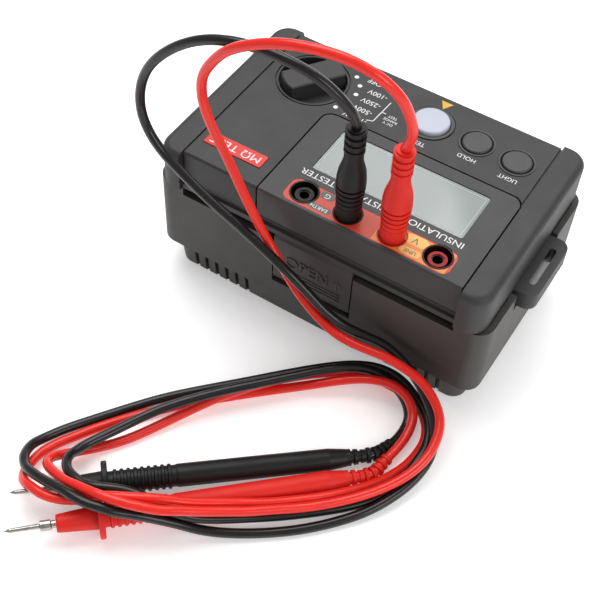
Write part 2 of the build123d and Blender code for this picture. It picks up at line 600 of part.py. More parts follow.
with BuildPart() as battery_door:
    with BuildSketch(Plane.XY.offset(CASE_BOTTOM)):
        Rectangle(2 * BAY_X - 0.5, 2 * BAY_Y - 0.5)
        with Locations((0, -BAY_Y)):
            Rectangle(20.0, 2 * (DOOR_TAB_Y - BAY_Y))
        with Locations((0, -34.0)):
            Circle(1.35, mode=Mode.SUBTRACT)
    extrude(amount=1.9)
    with Locations((0, -34.0, CASE_BOTTOM)):
        Cylinder(2.7, 2.0, mode=Mode.SUBTRACT)
    # finger ribs on the outside
    with Locations(*[(0, 18 + 2.6 * n, CASE_BOTTOM) for n in range(4)]):
        Box(24, 1.2, 1.0, mode=Mode.SUBTRACT)
write(battery_door.part, "battery_door")

with BuildPart() as door_screw:
    with Locations((0, -34.0, CASE_BOTTOM + 0.1)):
        Cylinder(2.5, 0.9, align=(Align.CENTER, Align.CENTER, Align.MIN))
        Cylinder(1.2, 9.0, align=(Align.CENTER, Align.CENTER, Align.MIN))
        Box(3.4, 0.7, 0.8, mode=Mode.SUBTRACT)
write(door_screw.part, "door_screw")

with BuildPart() as case_screws:
    for sx in (-1, 1):
        for sy in (-1, 1):
            with Locations((sx * SCREW_X, sy * SCREW_Y, 40.0)):
                Cylinder(2.8, 2.4, align=(Align.CENTER, Align.CENTER, Align.MAX))
                Cylinder(1.45, 20.0, align=(Align.CENTER, Align.CENTER, Align.MIN))
write(case_screws.part, "case_screws")

# ---------------------------------------------------------------- test lead plugs
PIN_R = 1.95


def plug_boot(x):
    """Moulded shrouded plug: skirt in the socket, grip, ribbed neck."""
    with BuildPart() as boot:
        with BuildSketch(Plane.XZ.offset(-TERMINAL_Y)):
            with BuildLine():
                Polyline((x, 57.5), (x + 5.0, 57.5), (x + 5.0, 75.0))
                Spline((x + 5.0, 75.0), (x + 5.6, 88.0), (x + 4.9, 94.5), (x + 3.6, 101.0),
                       tangents=[(0, 1), (0, 1)])
                Polyline((x + 3.6, 101.0), (x + 3.1, BOOT_TOP), (x, BOOT_TOP), (x, 57.5))
            make_face()
        revolve(axis=Axis((x, TERMINAL_Y, 0), (0, 0, 1)))
        with BuildSketch(Plane.XY.offset(57.5)):
            with Locations((x, TERMINAL_Y)):
                Circle(3.9)
        extrude(amount=POST_TOP + 0.4 - 57.5, mode=Mode.SUBTRACT)
        with BuildSketch(Plane.XY.offset(57.5)):
            with Locations((x, TERMINAL_Y)):
                Circle(PIN_R)
        extrude(amount=84.0 - 57.5, mode=Mode.SUBTRACT)
        # ribs on the neck and shallow grooves round the grip
        for n in range(4):
            with BuildSketch(Plane.XY.offset(103.5 + 3.0 * n)):
                with Locations((x, TERMINAL_Y)):
                    Circle(3.9)
                    Circle(2.6, mode=Mode.SUBTRACT)
            extrude(amount=1.3)
        for n in range(5):
            with BuildSketch(Plane.XY.offset(77.0 + 2.4 * n)):
                with Locations((x, TERMINAL_Y)):
                    Circle(6.5)
                    Circle(4.9, mode=Mode.SUBTRACT)
            extrude(amount=0.9, mode=Mode.SUBTRACT)
    return boot.part


def plug_pin(x):
    with BuildPart() as pin:
        with BuildSketch(Plane.XY.offset(55.6)):
            with Locations((x, TERMINAL_Y)):
                Circle(PIN_R)
        extrude(amount=84.0 - 55.6)
        chamfer(pin.faces().sort_by(Axis.Z)[0].edges(), 0.6)
    return pin.part


write(plug_boot(GUARD_X), "black_plug_boot")
write(plug_pin(GUARD_X), "black_plug_pin")
write(plug_boot(VOLT_X), "red_plug_boot")
write(plug_pin(VOLT_X), "red_plug_pin")


# ---------------------------------------------------------------- probes
def probe_plane(guard, turn):
    """Local x runs from the finger guard towards the cord."""
    dip = radians(PROBE_DIP)
    along = (cos(radians(turn)) * cos(dip), sin(radians(turn)) * cos(dip), -sin(dip))
    return Plane(origin=guard, x_dir=along, z_dir=(sin(radians(turn)), -cos(radians(turn)), 0))


def turned(plane, outline):
    """A solid of revolution about the plane's x axis, from an outline of (length, radius) points."""
    with BuildPart() as body:
        with BuildSketch(plane):
            with BuildLine():
                Polyline(*outline, close=True)
            make_face()
        revolve(axis=Axis(plane.origin, plane.x_dir))
    return body.part


def probe_body(plane):
    outline = [(-16.0, 1.5), (-16.0, 3.1), (-15.4, 3.4), (-1.1, 4.5), (-1.1, 7.8), (-0.7, 8.2), (0.7, 8.2), (1.1, 7.8),
               (1.1, 4.1)]
    for n in range(9):
        x = 3.0 + 2.5 * n
        outline += [(x, 4.1), (x + 0.3, 4.7), (x + 1.3, 4.7), (x + 1.6, 4.1)]
    outline += [(26.0, 4.1), (27.0, 4.4), (60.0, 4.35), (84.0, 4.25), (91.0, 3.4), (91.0, 0.0), (-8.0, 0.0),
                (-8.0, 1.5)]
    return turned(plane, outline)


def probe_tip(plane):
    outline = [(-34.5, 0.0), (-32.5, 0.85), (-22.0, 1.0), (-21.6, 2.0), (-18.0, 2.0), (-17.6, 1.5), (-8.0, 1.5),
               (-8.0, 0.0)]
    return turned(plane, outline)


def strain_relief(plane):
    outline = [(91.0, 0.0), (91.0, 3.3), (92.6, 3.3), (92.8, 2.4), (93.8, 2.4), (94.0, 3.1), (95.4, 3.0),
               (95.6, 2.2), (96.6, 2.2), (96.8, 2.7), (PROBE_REAR, 2.5), (PROBE_REAR, 0.0)]
    return turned(plane, outline)


for colour, guard, turn in (("black", BLACK_GUARD, BLACK_TURN), ("red", RED_GUARD, RED_TURN)):
    plane = probe_plane(guard, turn)
    write(probe_body(plane), f"{colour}_probe_body")
    write(probe_tip(plane), f"{colour}_probe_tip")
    write(strain_relief(plane), f"{colour}_strain_relief")


# ---------------------------------------------------------------- cords
# Each lead falls from its plug over the near edge of the case, lies in loose turns on the floor
# to the right, lies back over the probe tips on the left, and ends in its own probe.
BLACK_ROUTE = [
    (8.5, -34.75, 114.5), (8.5, -35.5, 118.5), (5.5, -37, 124), (0.5, -39, 130), (-6, -41, 135),
    (-14, -43, 138), (-24, -44.5, 139.5), (-35, -45.5, 138.5), (-46.5, -47, 135), (-57.5, -48, 127.5),
    (-66.5, -49.5, 118), (-72, -50, 107.5), (-73.5, -51, 96.5), (-71.5, -51.5, 86.5), (-65, -52, 77.5),
    (-54.5, -52, 70), (-41.5, -53, 64), (-27, -54, 59), (-14, -55, 54), (-3, -55, 47.5),
    (5, -54, 40.5), (12, -53, 33.5), (19.5, -51.5, 28.5), (27.5, -49.5, 26), (35.5, -48, 25),
    (42.5, -48, 22.5), (49.5, -49.5, 20), (56, -52, 17), (62.5, -56, 14), (68, -61, 11.5),
    (71.5, -67.5, 9), (73, -74.5, 7.5), (72, -83, 5.5), (69, -92.5, 4.5), (63.5, -103, 3),
    (55.5, -113, 2), (46, -123, 2), (35.5, -131.5, 2), (25, -139, 3), (16.5, -144, 4.5),
    (9.5, -147.5, 7.5), (4, -151, 10.5), (-1, -154.5, 13.5), (-5.5, -157.5, 15.5), (-9.5, -160.5, 17.5),
    (-13.5, -162, 19), (-18, -163.5, 19.5), (-23.5, -164, 19.5), (-29.5, -163.5, 18.5), (-35.5, -163.5, 17),
    (-41, -163, 15), (-46.5, -162, 13), (-50.5, -160.5, 11), (-54, -157.5, 9.5), (-56, -154, 7.5),
    (-57, -149.5, 5.5), (-56, -144.5, 3.5), (-52.5, -136.5, 2.5), (-46, -126.5, 2), (-38, -115, 2),
    (-29.5, -103.5, 2), (-19.5, -92.5, 2), (-8.5, -81, 2), (3, -69.5, 3), (14, -59, 4),
    (24, -51, 5), (32.5, -47, 6), (40, -46, 6.5), (47, -47, 6.5), (53, -50, 6.5),
    (58.5, -53, 6.5), (63, -56.5, 6.5), (66.5, -61.5, 6.5), (68.5, -67, 6), (69, -73, 5.5),
    (68.5, -80.5, 4.5), (66.5, -88, 3), (63, -96.5, 2), (56.5, -104.5, 2), (48, -113, 2.5),
    (38, -122, 3), (28, -130.5, 4.5), (20, -137.5, 6.5), (14, -142.5, 8.5), (9, -145.5, 11),
    (4, -147.5, 13), (-2, -148, 14.5), (-8, -149, 15), (-13, -151, 16), (-17.5, -153.5, 16.5),
    (-21.5, -155.5, 16.5), (-26, -156.5, 15.5), (-30.5, -156, 15), (-35, -154.5, 13.5), (-38, -152, 12),
    (-40, -148.5, 10.5), (-40, -144, 8.5), (-38.5, -138, 7.5), (-35, -130.5, 7), (-30.5, -121.5, 7.5),
    (-25, -112, 8.5), (-17.5, -102.5, 9.5), (-9.5, -93, 10), (-0, -83, 10.5), (9.5, -72.5, 10.5),
    (18.5, -63, 11), (26.5, -55.5, 11), (34, -51.5, 10), (41, -50.5, 8), (47, -51.5, 6.5),
    (52.5, -54, 4.5), (56, -58, 3), (57, -62.5, 2), (57, -68, 2), (56, -72.5, 2),
    (54.5, -77, 2.5), (53.61, -80.72, 3.57), (50.63, -83.39, 3.66),
]
RED_ROUTE = [
    (27.5, -34.75, 114.5), (30.5, -35, 122), (28, -38, 135), (24.5, -40, 141.5), (19.5, -42.5, 147),
    (13, -44.5, 150.5), (5.5, -46.5, 152.5), (-4, -48.5, 152.5), (-14, -50, 150.5), (-24, -51, 146),
    (-33, -51.5, 140), (-39.5, -51.5, 132), (-44, -51.5, 123.5), (-45, -51, 115), (-44, -50.5, 107),
    (-41, -50, 98.5), (-36.5, -49.5, 89.5), (-30.5, -50, 78.5), (-24.5, -50.5, 68), (-19, -50.5, 58.5),
    (-12.5, -51, 49.5), (-5.5, -52, 41), (2, -52.5, 33), (10.5, -53.5, 28), (18, -54.5, 25.5),
    (26, -54.5, 25), (34, -54, 25.5), (41, -53, 25.5), (53.5, -52.5, 22.5), (59.5, -54, 20.5),
    (65, -56.5, 18), (69, -60, 16), (71.5, -65, 14.5), (72.5, -71.5, 12.5), (72, -78, 11),
    (69.5, -85.5, 9.5), (65, -93, 8), (59.5, -101, 8), (52.5, -109, 8), (44.5, -117, 8.5),
    (36, -124.5, 10), (28.5, -131.5, 11.5), (21.5, -137, 13), (15.5, -142, 14.5), (10, -146.5, 16.5),
    (4.5, -151, 18), (-1, -154, 19.5), (-6.5, -156.5, 20.5), (-11.5, -158, 21), (-16, -159, 21),
    (-21, -159.5, 20), (-26.5, -159.5, 18.5), (-31.5, -159.5, 16.5), (-36.5, -158.5, 14.5), (-41.5, -157, 12.5),
    (-45, -155, 10.5), (-46, -151.5, 8.5), (-45, -148, 6), (-42, -143, 4), (-37.5, -137, 2.5),
    (-32, -130, 2), (-27, -122, 2), (-18.5, -106.5, 3.5), (-9, -91, 6), (5.5, -73.5, 7),
    (14.5, -64.5, 7), (23, -57.5, 6.5), (30.5, -52.5, 5.5), (37.5, -50, 4), (44, -49, 2.5),
    (50.5, -49, 2), (56.5, -51, 2), (61, -54.5, 2), (64.5, -59, 2), (66.5, -65, 2),
    (66.5, -71, 2), (65.5, -78, 2), (62.5, -86, 2.5), (58.5, -94, 4), (53, -102, 5.5),
    (46, -110, 6.5), (38, -117.5, 7.5), (30.5, -124.5, 9), (22.5, -130.5, 10.5), (15.5, -136.5, 12.5),
    (9.5, -141.5, 14.5), (4, -145.5, 17), (-1, -149, 18.5), (-6, -152, 18.5), (-11, -154.5, 18),
    (-15, -156.5, 17.5), (-19, -159, 16.5), (-23, -162, 15), (-27.5, -164.5, 14), (-32, -166.5, 14),
    (-36.5, -167.5, 14), (-41.5, -167, 13.5), (-46, -166, 11), (-49.5, -163.5, 8), (-52, -159.5, 5.5),
    (-53, -154.5, 4), (-53, -149.5, 3), (-51, -143.5, 2.5), (-47.5, -137, 2), (-43, -129.5, 2),
    (-37.5, -121.5, 2), (-31.5, -113.5, 2), (-18.5, -99, 2), (-3, -83.5, 2), (6.5, -75.5, 3),
    (16.5, -68, 5), (25, -61.5, 7), (33, -57, 9.5), (39.5, -54.5, 10.5), (45.5, -53.5, 11),
    (51, -54, 10), (55, -56, 8.5), (58, -59, 7), (59.5, -63.5, 6), (60, -68.5, 5),
    (59.5, -74, 4.5), (58.5, -79.5, 4), (57.5, -84.5, 3.5), (57.45, -88.66, 3.57), (54.62, -91.47, 3.66),
]


def cord(route, label):
    """A round cord swept along runs and arcs; each arc is as large as its shorter run allows."""
    points = [Vector(*point) for point in route]
    runs = [(after - before).length for before, after in zip(points, points[1:])]
    radii = []
    for n in range(1, len(points) - 1):
        turn = (points[n] - points[n - 1]).get_angle(points[n + 1] - points[n])
        radii.append(0.45 * min(runs[n - 1], runs[n]) / tan(radians(turn) / 2))
    with BuildPart() as tube:
        with BuildLine() as line:
            FilletPolyline(*points, radius=radii)
        start = line.wires()[0]
        with BuildSketch(Plane(origin=points[0], z_dir=points[1] - points[0])):
            Circle(CORD_R)
        sweep(path=start)
    length = line.wires()[0].length
    print(label, "radii", " ".join(f"{radius:.1f}" for radius in radii))
    print(label, f"length {length:.0f} volume {tube.part.volume:.0f} section x length",
          f"{3.14159 * CORD_R ** 2 * length:.0f}")
    write(tube.part, label)


cord(BLACK_ROUTE, "black_cord")
cord(RED_ROUTE, "red_cord")
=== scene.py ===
"""Hand-held insulation resistance tester with two test leads, in metres, on the frame of its solids.

+X runs along the long side, -Y is the edge with the terminals. Lettering reads up towards -Y.
"""

import math

import bpy
from mathutils import Matrix, Vector


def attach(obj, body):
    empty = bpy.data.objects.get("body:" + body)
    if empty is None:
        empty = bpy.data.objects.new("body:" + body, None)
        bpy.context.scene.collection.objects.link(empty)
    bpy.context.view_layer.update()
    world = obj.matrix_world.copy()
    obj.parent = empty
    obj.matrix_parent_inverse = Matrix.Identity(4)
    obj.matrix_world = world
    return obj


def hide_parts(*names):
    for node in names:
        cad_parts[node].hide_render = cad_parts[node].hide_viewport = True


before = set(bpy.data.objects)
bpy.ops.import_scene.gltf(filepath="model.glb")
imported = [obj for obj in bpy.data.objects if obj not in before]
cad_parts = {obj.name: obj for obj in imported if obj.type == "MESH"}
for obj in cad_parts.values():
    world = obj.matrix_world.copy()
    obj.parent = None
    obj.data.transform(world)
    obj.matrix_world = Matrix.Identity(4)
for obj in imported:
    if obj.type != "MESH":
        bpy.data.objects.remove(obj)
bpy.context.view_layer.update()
bpy.ops.object.select_all(action="DESELECT")

# ---------------------------------------------------------------- camera
# A plain lens seen from in front, to the right and above, looking down on the panel.
# Its axes are given as rows: to the right, up and backwards.
bpy.ops.object.camera_add(location=(0.14016, -0.29952, 0.39099))
camera = bpy.context.object
camera.name = "camera"
axes = Matrix((
    (0.84501, 0.53339, 0.03807),
    (-0.43902, 0.65134, 0.61888),
    (0.30531, -0.53968, 0.78456),
)).transposed()
camera.rotation_euler = axes.to_euler()
camera.data.lens = 70.19
camera.data.sensor_width = 36.0
camera.data.clip_start = 0.01
bpy.context.scene.camera = camera


# ---------------------------------------------------------------- test leads
# Two leads of soft PVC-jacketed wire, 3.8 mm thick and about a metre long, one black, one red.
# They leave the plugs upwards, fall over the near edge and lie in loose turns on the table.
class Wire:
    """A link inside a finish. Sums written on it add their own Math nodes."""

    def __init__(self, tree, socket):
        self.tree = tree
        self.socket = socket

    def add_node(self, kind, settings, sockets, out=0):
        node = self.tree.nodes.new(kind)
        for key, value in settings.items():
            if key == "stops":
                ramp = node.color_ramp.elements
                while len(ramp) < len(value):
                    ramp.new(1.0)
                for stop, (place, colour) in zip(ramp, value):
                    stop.position = place
                    stop.color = colour
            else:
                setattr(node, key, value)
        for key, value in sockets.items():
            if isinstance(value, Wire):
                self.tree.links.new(value.socket, node.inputs[key])
            else:
                node.inputs[key].default_value = value
        return Wire(self.tree, node.outputs[out])

    def sum(self, operation, other):
        return self.add_node("ShaderNodeMath", {"operation": operation}, {0: self, 1: other})

    def __add__(self, other):
        return self.sum("ADD", other)

    __radd__ = __add__

    def __mul__(self, other):
        return self.sum("MULTIPLY", other)

    __rmul__ = __mul__

    def __sub__(self, other):
        return self.sum("SUBTRACT", other)

    def __rsub__(self, other):
        return self.add_node("ShaderNodeMath", {"operation": "SUBTRACT"}, {0: other, 1: self})

    def over(self, edge):
        return self.sum("GREATER_THAN", edge)

    def cloud(self, size, detail=3.0):
        """Soft random patches of the given size in metres, from 0 to 1."""
        return self.add_node("ShaderNodeTexNoise", {},
                             {"Vector": self, "Scale": 1.0 / size, "Detail": detail})

    def tint(self, dark, light):
        """Dark where this is 0 and light where it is 1."""
        factor, first, second, colour = 0, 6, 7, 2
        return self.add_node("ShaderNodeMix", {"data_type": "RGBA"},
                             {factor: self, first: dark, second: light}, out=colour)


def start_finish(name):
    """A new finish, its shader, and the place on the piece that its patterns read."""
    finish = bpy.data.materials.new(name)
    finish.use_nodes = True
    tree = finish.node_tree
    shader = tree.nodes["Principled BSDF"]
    place = tree.nodes.new("ShaderNodeTexCoord")
    return finish, shader, Wire(tree, place.outputs["Object"])


def feed(shader, colour, roughness, relief, depth, strength=1.0):
    """Joins colour, roughness and a relief of the given depth in metres to the shader."""
    tree = colour.tree
    tree.links.new(colour.socket, shader.inputs["Base Color"])
    tree.links.new(roughness.socket, shader.inputs["Roughness"])
    bump = relief.add_node("ShaderNodeBump", {},
                           {"Height": relief, "Distance": depth, "Strength": strength})
    tree.links.new(bump.socket, shader.inputs["Normal"])


def soft_pvc(name, dark, light, shine):
    """Extruded PVC: nearly smooth, glossy, a little dull where it has been handled."""
    finish, shader, place = start_finish(name)
    handled = place.cloud(0.02)
    skin = place.cloud(0.0011, 5.0)
    shader.inputs["Coat Weight"].default_value = shine
    shader.inputs["Coat Roughness"].default_value = 0.1
    shader.inputs["Specular IOR Level"].default_value = 0.22
    feed(shader, (handled * 0.6 + skin * 0.4).tint(dark, light), handled * 0.2 + skin * 0.1 + 0.2,
         skin, 0.00012, 0.5)
    return finish


CORD_RADIUS = 0.0019


def lay_cord(name, route, finish):
    """A round cord on one smooth curve that its route pulls into shape."""
    line = bpy.data.curves.new(name, "CURVE")
    line.dimensions = "3D"
    spline = line.splines.new("NURBS")
    spline.points.add(len(route) - 1)
    for point, place in zip(spline.points, route):
        point.co = (*place, 1.0)
    spline.order_u = 3
    spline.use_endpoint_u = True
    spline.resolution_u = 6
    line.bevel_depth = CORD_RADIUS
    line.bevel_resolution = 4
    line.use_fill_caps = True
    line.materials.append(finish)
    lead = bpy.data.objects.new(name, line)
    bpy.context.scene.collection.objects.link(lead)
    return lead


black_route = [
    (0.0085, -0.03475, 0.1145), (0.0085, -0.0355, 0.1185), (0.0055, -0.037, 0.124),
    (0.0005, -0.039, 0.13), (-0.006, -0.041, 0.135), (-0.014, -0.043, 0.138), (-0.024, -0.0445, 0.1395),
    (-0.035, -0.0455, 0.1385), (-0.0465, -0.047, 0.135), (-0.0575, -0.048, 0.1275),
    (-0.0665, -0.0495, 0.118), (-0.072, -0.05, 0.1075), (-0.0735, -0.051, 0.0965),
    (-0.0715, -0.0515, 0.0865), (-0.065, -0.052, 0.0775), (-0.0545, -0.052, 0.07),
    (-0.0415, -0.053, 0.064), (-0.027, -0.054, 0.059), (-0.014, -0.055, 0.054), (-0.003, -0.055, 0.0475),
    (0.005, -0.054, 0.0405), (0.012, -0.053, 0.0335), (0.0195, -0.0515, 0.0285), (0.0275, -0.0495, 0.026),
    (0.0355, -0.048, 0.025), (0.0425, -0.048, 0.0225), (0.0495, -0.0495, 0.02), (0.056, -0.052, 0.017),
    (0.0625, -0.056, 0.014), (0.068, -0.061, 0.0115), (0.0715, -0.0675, 0.009), (0.073, -0.0745, 0.0075),
    (0.072, -0.083, 0.0055), (0.069, -0.0925, 0.0045), (0.0635, -0.103, 0.003), (0.0555, -0.113, 0.002),
    (0.046, -0.123, 0.002), (0.0355, -0.1315, 0.002), (0.025, -0.139, 0.003), (0.0165, -0.144, 0.0045),
    (0.0095, -0.1475, 0.0075), (0.004, -0.151, 0.0105), (-0.001, -0.1545, 0.0135),
    (-0.0055, -0.1575, 0.0155), (-0.0095, -0.1605, 0.0175), (-0.0135, -0.162, 0.019),
    (-0.018, -0.1635, 0.0195), (-0.0235, -0.164, 0.0195), (-0.0295, -0.1635, 0.0185),
    (-0.0355, -0.1635, 0.017), (-0.041, -0.163, 0.015), (-0.0465, -0.162, 0.013),
    (-0.0505, -0.1605, 0.011), (-0.054, -0.1575, 0.0095), (-0.056, -0.154, 0.0075),
    (-0.057, -0.1495, 0.0055), (-0.056, -0.1445, 0.0035), (-0.0525, -0.1365, 0.0025),
    (-0.046, -0.1265, 0.002), (-0.038, -0.115, 0.002), (-0.0295, -0.1035, 0.002),
    (-0.0195, -0.0925, 0.002), (-0.0085, -0.081, 0.002), (0.003, -0.0695, 0.003), (0.014, -0.059, 0.004),
    (0.024, -0.051, 0.005), (0.0325, -0.047, 0.006), (0.04, -0.046, 0.0065), (0.047, -0.047, 0.0065),
    (0.053, -0.05, 0.0065), (0.0585, -0.053, 0.0065), (0.063, -0.0565, 0.0065), (0.0665, -0.0615, 0.0065),
    (0.0685, -0.067, 0.006), (0.069, -0.073, 0.0055), (0.0685, -0.0805, 0.0045), (0.0665, -0.088, 0.003),
    (0.063, -0.0965, 0.002), (0.0565, -0.1045, 0.002), (0.048, -0.113, 0.0025), (0.038, -0.122, 0.003),
    (0.028, -0.1305, 0.0045), (0.02, -0.1375, 0.0065), (0.014, -0.1425, 0.0085), (0.009, -0.1455, 0.011),
    (0.004, -0.1475, 0.013), (-0.002, -0.148, 0.0145), (-0.008, -0.149, 0.015), (-0.013, -0.151, 0.016),
    (-0.0175, -0.1535, 0.0165), (-0.0215, -0.1555, 0.0165), (-0.026, -0.1565, 0.0155),
    (-0.0305, -0.156, 0.015), (-0.035, -0.1545, 0.0135), (-0.038, -0.152, 0.012),
    (-0.04, -0.1485, 0.0105), (-0.04, -0.144, 0.0085), (-0.0385, -0.138, 0.0075),
    (-0.035, -0.1305, 0.007), (-0.0305, -0.1215, 0.0075), (-0.025, -0.112, 0.0085),
    (-0.0175, -0.1025, 0.0095), (-0.0095, -0.093, 0.01), (-0, -0.083, 0.0105), (0.0095, -0.0725, 0.0105),
    (0.0185, -0.063, 0.011), (0.0265, -0.0555, 0.011), (0.034, -0.0515, 0.01), (0.041, -0.0505, 0.008),
    (0.047, -0.0515, 0.0065), (0.0525, -0.054, 0.0045), (0.056, -0.058, 0.003), (0.057, -0.0625, 0.002),
    (0.057, -0.068, 0.002), (0.056, -0.0725, 0.002), (0.0545, -0.077, 0.0025),
    (0.05361, -0.08072, 0.00357), (0.05063, -0.08339, 0.00366),
]
red_route = [
    (0.0275, -0.03475, 0.1145), (0.0305, -0.035, 0.122), (0.028, -0.038, 0.135), (0.0245, -0.04, 0.1415),
    (0.0195, -0.0425, 0.147), (0.013, -0.0445, 0.1505), (0.0055, -0.0465, 0.1525),
    (-0.004, -0.0485, 0.1525), (-0.014, -0.05, 0.1505), (-0.024, -0.051, 0.146), (-0.033, -0.0515, 0.14),
    (-0.0395, -0.0515, 0.132), (-0.044, -0.0515, 0.1235), (-0.045, -0.051, 0.115),
    (-0.044, -0.0505, 0.107), (-0.041, -0.05, 0.0985), (-0.0365, -0.0495, 0.0895),
    (-0.0305, -0.05, 0.0785), (-0.0245, -0.0505, 0.068), (-0.019, -0.0505, 0.0585),
    (-0.0125, -0.051, 0.0495), (-0.0055, -0.052, 0.041), (0.002, -0.0525, 0.033),
    (0.0105, -0.0535, 0.028), (0.018, -0.0545, 0.0255), (0.026, -0.0545, 0.025), (0.034, -0.054, 0.0255),
    (0.041, -0.053, 0.0255), (0.0535, -0.0525, 0.0225), (0.0595, -0.054, 0.0205), (0.065, -0.0565, 0.018),
    (0.069, -0.06, 0.016), (0.0715, -0.065, 0.0145), (0.0725, -0.0715, 0.0125), (0.072, -0.078, 0.011),
    (0.0695, -0.0855, 0.0095), (0.065, -0.093, 0.008), (0.0595, -0.101, 0.008), (0.0525, -0.109, 0.008),
    (0.0445, -0.117, 0.0085), (0.036, -0.1245, 0.01), (0.0285, -0.1315, 0.0115), (0.0215, -0.137, 0.013),
    (0.0155, -0.142, 0.0145), (0.01, -0.1465, 0.0165), (0.0045, -0.151, 0.018), (-0.001, -0.154, 0.0195),
    (-0.0065, -0.1565, 0.0205), (-0.0115, -0.158, 0.021), (-0.016, -0.159, 0.021),
    (-0.021, -0.1595, 0.02), (-0.0265, -0.1595, 0.0185), (-0.0315, -0.1595, 0.0165),
    (-0.0365, -0.1585, 0.0145), (-0.0415, -0.157, 0.0125), (-0.045, -0.155, 0.0105),
    (-0.046, -0.1515, 0.0085), (-0.045, -0.148, 0.006), (-0.042, -0.143, 0.004),
    (-0.0375, -0.137, 0.0025), (-0.032, -0.13, 0.002), (-0.027, -0.122, 0.002),
    (-0.0185, -0.1065, 0.0035), (-0.009, -0.091, 0.006), (0.0055, -0.0735, 0.007),
    (0.0145, -0.0645, 0.007), (0.023, -0.0575, 0.0065), (0.0305, -0.0525, 0.0055), (0.0375, -0.05, 0.004),
    (0.044, -0.049, 0.0025), (0.0505, -0.049, 0.002), (0.0565, -0.051, 0.002), (0.061, -0.0545, 0.002),
    (0.0645, -0.059, 0.002), (0.0665, -0.065, 0.002), (0.0665, -0.071, 0.002), (0.0655, -0.078, 0.002),
    (0.0625, -0.086, 0.0025), (0.0585, -0.094, 0.004), (0.053, -0.102, 0.0055), (0.046, -0.11, 0.0065),
    (0.038, -0.1175, 0.0075), (0.0305, -0.1245, 0.009), (0.0225, -0.1305, 0.0105),
    (0.0155, -0.1365, 0.0125), (0.0095, -0.1415, 0.0145), (0.004, -0.1455, 0.017),
    (-0.001, -0.149, 0.0185), (-0.006, -0.152, 0.0185), (-0.011, -0.1545, 0.018),
    (-0.015, -0.1565, 0.0175), (-0.019, -0.159, 0.0165), (-0.023, -0.162, 0.015),
    (-0.0275, -0.1645, 0.014), (-0.032, -0.1665, 0.014), (-0.0365, -0.1675, 0.014),
    (-0.0415, -0.167, 0.0135), (-0.046, -0.166, 0.011), (-0.0495, -0.1635, 0.008),
    (-0.052, -0.1595, 0.0055), (-0.053, -0.1545, 0.004), (-0.053, -0.1495, 0.003),
    (-0.051, -0.1435, 0.0025), (-0.0475, -0.137, 0.002), (-0.043, -0.1295, 0.002),
    (-0.0375, -0.1215, 0.002), (-0.0315, -0.1135, 0.002), (-0.0185, -0.099, 0.002),
    (-0.003, -0.0835, 0.002), (0.0065, -0.0755, 0.003), (0.0165, -0.068, 0.005), (0.025, -0.0615, 0.007),
    (0.033, -0.057, 0.0095), (0.0395, -0.0545, 0.0105), (0.0455, -0.0535, 0.011), (0.051, -0.054, 0.01),
    (0.055, -0.056, 0.0085), (0.058, -0.059, 0.007), (0.0595, -0.0635, 0.006), (0.06, -0.0685, 0.005),
    (0.0595, -0.074, 0.0045), (0.0585, -0.0795, 0.004), (0.0575, -0.0845, 0.0035),
    (0.05745, -0.08866, 0.00357), (0.05462, -0.09147, 0.00366),
]

black_pvc = soft_pvc("black_pvc", (0.005, 0.005, 0.005, 1), (0.010, 0.010, 0.010, 1), 0.4)
red_pvc = soft_pvc("red_pvc", (0.74, 0.014, 0.008, 1), (0.86, 0.028, 0.015, 1), 0.4)
for colour, route, finish, length in (("black", black_route, black_pvc, 1.016),
                                      ("red", red_route, red_pvc, 1.019)):
    lead = lay_cord(f"{colour}_lead", route, finish)
    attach(lead, "tester")
    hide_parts(f"{colour}_cord")


# ---------------------------------------------------------------- plugs and probes
# Boots, handles and flex reliefs are moulded from the same soft PVC as the jackets, satin from the tool.
# Pins and needles are nickel-plated brass with fine turning marks.
def dress(finish, *names):
    """Gives solids of the frame their finish."""
    for name in names:
        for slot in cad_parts[name].material_slots:
            slot.material = finish


def moulded_pvc(name, dark, light, shine):
    """Injection-moulded PVC: satin, with fine tool texture and rubbed, shinier patches."""
    finish, shader, place = start_finish(name)
    rubbed = place.cloud(0.009)
    grain = place.cloud(0.0004, 4.0)
    shader.inputs["Coat Weight"].default_value = shine
    shader.inputs["Coat Roughness"].default_value = 0.3
    shader.inputs["Specular IOR Level"].default_value = 0.22
    feed(shader, (rubbed * 0.5 + grain * 0.5).tint(dark, light), 0.62 - rubbed * 0.28, grain, 0.00008, 0.6)
    return finish


def plated(name, dark, light, groove):
    """Turned and plated metal: bright, with faint rings from the lathe."""
    finish, shader, place = start_finish(name)
    rings = place.cloud(groove, 2.0)
    smears = place.cloud(0.004)
    shader.inputs["Metallic"].default_value = 1.0
    feed(shader, smears.tint(dark, light), smears * 0.2 + rings * 0.1 + 0.12, rings, 0.00004, 0.4)
    return finish


black_grip = moulded_pvc("black_grip", (0.005, 0.005, 0.005, 1), (0.010, 0.010, 0.010, 1), 0.08)
red_grip = moulded_pvc("red_grip", (0.64, 0.012, 0.008, 1), (0.76, 0.026, 0.016, 1), 0.08)
dress(black_grip, "black_plug_boot", "black_probe_body", "black_strain_relief")
dress(red_grip, "red_plug_boot", "red_probe_body", "red_strain_relief")
nickel = plated("nickel", (0.30, 0.28, 0.26, 1), (0.60, 0.58, 0.55, 1), 0.0003)
dress(nickel, "black_plug_pin", "red_plug_pin", "black_probe_tip", "red_probe_tip")


